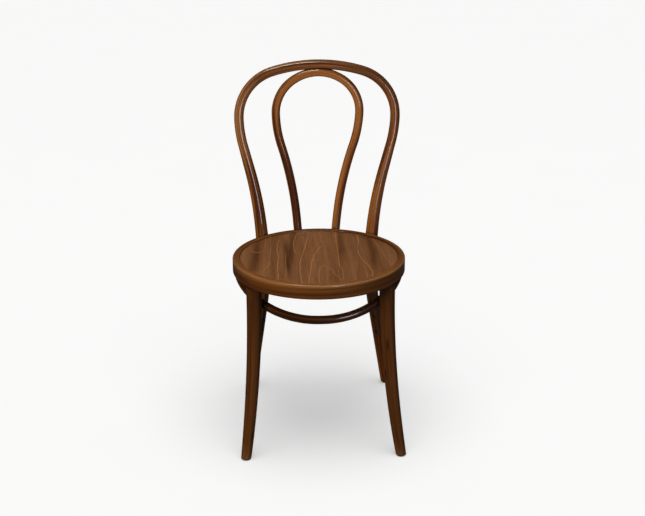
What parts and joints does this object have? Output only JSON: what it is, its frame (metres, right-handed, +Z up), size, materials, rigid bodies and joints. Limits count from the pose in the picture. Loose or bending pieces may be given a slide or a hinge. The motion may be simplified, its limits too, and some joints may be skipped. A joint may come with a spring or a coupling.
{
  "type": "bentwood bistro chair",
  "caption": "Bentwood bistro chair with a tall bent bow and inner loop for a back, a round let-in seat panel, splayed round legs and a bent brace under the seat.",
  "frame": {"origin": "on the floor, at the middle of the chair's own extents", "axes": "+Z up, the chair's front faces -Y, +X to the right seen from the front"},
  "size_m": [0.4174, 0.4718, 0.8774],
  "materials": {
    "bent_beech": "satin",
    "seat_veneer": "satin",
    "dark_steel": "satin",
    "glide_plastic": "matte"
  },
  "bodies": {
    "root": {"back_bow": "bent_beech", "inner_loop": "bent_beech", "leg_brace": "bent_beech", "seat_ring": "bent_beech", "front_leg_left": "bent_beech", "front_leg_right": "bent_beech", "seat_panel": "seat_veneer", "post_bolts": "dark_steel", "post_bolt_washers": "dark_steel", "post_bolt_nuts": "dark_steel", "loop_foot_screws": "dark_steel", "loop_crown_screws": "dark_steel", "brace_front_screws": "dark_steel", "brace_rear_screws": "dark_steel", "brace_ring_screws": "dark_steel", "glide_nails": "dark_steel", "glide_front_left": "glide_plastic", "glide_front_right": "glide_plastic", "glide_rear_left": "glide_plastic", "glide_rear_right": "glide_plastic"}
  },
  "joints": []
}
